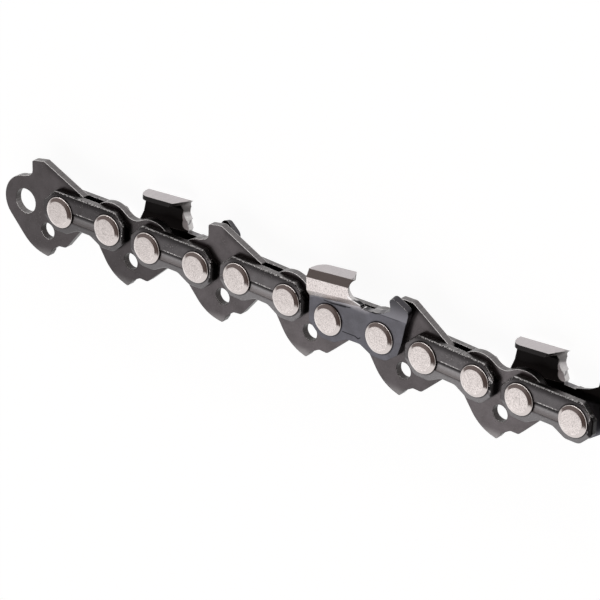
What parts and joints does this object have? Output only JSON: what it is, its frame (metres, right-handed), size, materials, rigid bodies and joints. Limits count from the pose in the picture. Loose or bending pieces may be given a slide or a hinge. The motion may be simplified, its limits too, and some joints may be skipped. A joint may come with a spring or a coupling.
{
  "type": "saw chain section",
  "caption": "Stretch of chain for a chain saw: hooked drive links riveted between tie straps, with filed cutters on alternate sides and ramped links ahead of them.",
  "frame": {"origin": "centre of the free rear rivet hole of the first drive link, on the middle plane of the chain", "axes": "+X along the chain the way it travels, +Y away from the guide bar to the cutting edges, +Z along the rivets to the side that the picture shows"},
  "size_m": [0.1218, 0.0187, 0.0062],
  "materials": {
    "drive_steel": "black oxide on blanked steel",
    "strap_steel": "black oxide on blanked steel, edges lighter",
    "cutter_plate": "bluish grey steel plate, bright on the tooth",
    "rivet_steel": "bright spun head"
  },
  "bodies": {
    "link_1": {"bumper_drive_link_1": "drive_steel"},
    "plates_1": {"tie_strap_near_1": "strap_steel", "tie_strap_far_1": "strap_steel", "rivet_1": "rivet_steel", "rivet_2": "rivet_steel"},
    "link_2": {"drive_link_1": "drive_steel"},
    "plates_2": {"tie_strap_near_2": "strap_steel", "left_cutter_1": "cutter_plate", "rivet_3": "rivet_steel", "rivet_4": "rivet_steel"},
    "link_3": {"bumper_drive_link_2": "drive_steel"},
    "plates_3": {"tie_strap_near_3": "strap_steel", "tie_strap_far_3": "strap_steel", "rivet_5": "rivet_steel", "rivet_6": "rivet_steel"},
    "link_4": {"drive_link_2": "drive_steel"},
    "plates_4": {"right_cutter": "cutter_plate", "tie_strap_far_4": "strap_steel", "rivet_7": "rivet_steel", "rivet_8": "rivet_steel"},
    "link_5": {"bumper_drive_link_3": "drive_steel"},
    "plates_5": {"tie_strap_near_5": "strap_steel", "tie_strap_far_5": "strap_steel", "rivet_9": "rivet_steel", "rivet_10": "rivet_steel"},
    "link_6": {"drive_link_3": "drive_steel"},
    "plates_6": {"tie_strap_near_6": "strap_steel", "left_cutter_2": "cutter_plate", "rivet_11": "rivet_steel", "rivet_12": "rivet_steel"}
  },
  "joints": [
    {"name": "rivet_pivot_1", "type": "hinge", "parent": "link_1", "child": "plates_1", "pos_m": [0.00842, 0.00111, 0], "axis": [0, 0, 1], "range_deg": [-22, 15]},
    {"name": "rivet_pivot_2", "type": "hinge", "parent": "plates_1", "child": "link_2", "pos_m": [0.01856, 0.00137, 0], "axis": [0, 0, 1], "range_deg": [-24.4, 12.6]},
    {"name": "rivet_pivot_3", "type": "hinge", "parent": "link_2", "child": "plates_2", "pos_m": [0.02705, 0.00106, 0], "axis": [0, 0, 1], "range_deg": [-30.6, 6.4]},
    {"name": "rivet_pivot_4", "type": "hinge", "parent": "plates_2", "child": "link_3", "pos_m": [0.0372, 0.00115, 0], "axis": [0, 0, 1], "range_deg": [-33.7, 3.3]},
    {"name": "rivet_pivot_5", "type": "hinge", "parent": "link_3", "child": "plates_3", "pos_m": [0.04564, 0.00207, 0], "axis": [0, 0, 1], "range_deg": [-20.7, 16.3]},
    {"name": "rivet_pivot_6", "type": "hinge", "parent": "plates_3", "child": "link_4", "pos_m": [0.05579, 0.00187, 0], "axis": [0, 0, 1], "range_deg": [-25.9, 11.1]},
    {"name": "rivet_pivot_7", "type": "hinge", "parent": "link_4", "child": "plates_4", "pos_m": [0.06426, 0.0014, 0], "axis": [0, 0, 1], "range_deg": [-33.4, 3.6]},
    {"name": "rivet_pivot_8", "type": "hinge", "parent": "plates_4", "child": "link_5", "pos_m": [0.07441, 0.00179, 0], "axis": [0, 0, 1], "range_deg": [-23.1, 13.9]},
    {"name": "rivet_pivot_9", "type": "hinge", "parent": "link_5", "child": "plates_5", "pos_m": [0.08289, 0.00139, 0], "axis": [0, 0, 1], "range_deg": [-29, 8]},
    {"name": "rivet_pivot_10", "type": "hinge", "parent": "plates_5", "child": "link_6", "pos_m": [0.09303, 0.00109, 0], "axis": [0, 0, 1], "range_deg": [-29.2, 7.8]},
    {"name": "rivet_pivot_11", "type": "hinge", "parent": "link_6", "child": "plates_6", "pos_m": [0.10152, 0.00101, 0], "axis": [0, 0, 1], "range_deg": [-28.5, 8.5]}
  ]
}
